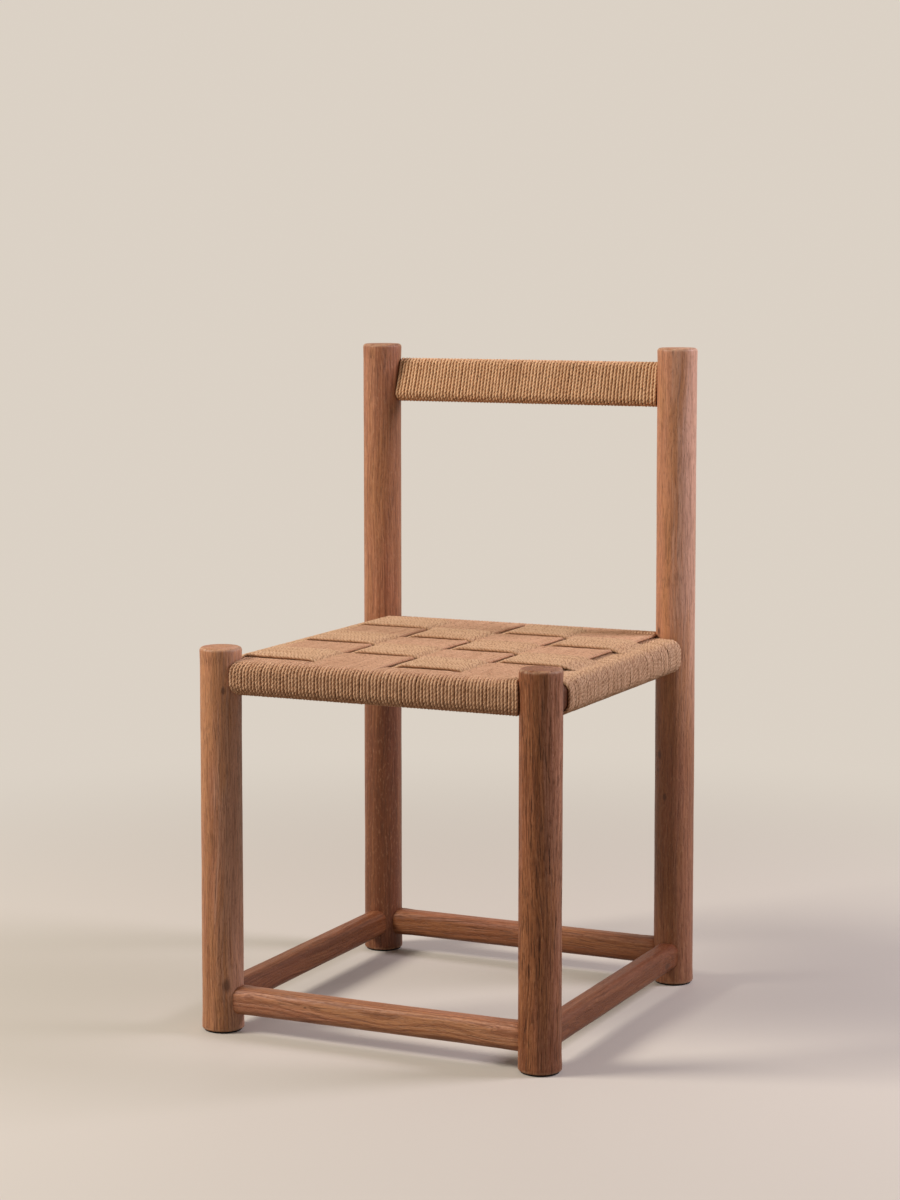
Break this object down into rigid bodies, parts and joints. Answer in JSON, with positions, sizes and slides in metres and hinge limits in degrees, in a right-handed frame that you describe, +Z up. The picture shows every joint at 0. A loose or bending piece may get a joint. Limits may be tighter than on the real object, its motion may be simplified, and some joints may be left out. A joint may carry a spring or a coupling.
{
  "type": "stool with backrest",
  "caption": "Wooden stool with a low backrest: round legs and posts, low stretchers all round, a seat of cord woven as a chequer and a backrest rail wound with cord.",
  "frame": {"origin": "on the floor, under the middle of the four legs", "axes": "+Z up, +Y towards the backrest, +X to the right of someone who looks at its front"},
  "size_m": [0.441, 0.4589, 0.77],
  "materials": {
    "frame_wood": "oiled open-grained brown hardwood, satin",
    "seat_cord": "twisted natural fibre cord, matt",
    "backrest_cord": "twisted natural fibre cord, matt",
    "foot_felt": "dense dark felt"
  },
  "bodies": {
    "root": {"front_left_leg": "frame_wood", "front_right_leg": "frame_wood", "back_left_post": "frame_wood", "back_right_post": "frame_wood", "front_stretcher": "frame_wood", "back_stretcher": "frame_wood", "left_stretcher": "frame_wood", "right_stretcher": "frame_wood", "front_seat_rail": "frame_wood", "back_seat_rail": "frame_wood", "left_seat_rail": "frame_wood", "right_seat_rail": "frame_wood", "backrest_rail": "frame_wood", "front_left_foot_pad": "foot_felt", "front_right_foot_pad": "foot_felt", "back_left_foot_pad": "foot_felt", "back_right_foot_pad": "foot_felt", "seat_warp_band_1": "seat_cord", "seat_warp_band_2": "seat_cord", "seat_warp_band_3": "seat_cord", "seat_warp_band_4": "seat_cord", "seat_weft_band_1": "seat_cord", "seat_weft_band_2": "seat_cord", "seat_weft_band_3": "seat_cord", "seat_weft_band_4": "seat_cord", "seat_weft_band_5": "seat_cord", "backrest_cord_1": "backrest_cord", "backrest_cord_2": "backrest_cord", "backrest_cord_3": "backrest_cord", "backrest_cord_4": "backrest_cord"}
  },
  "joints": []
}
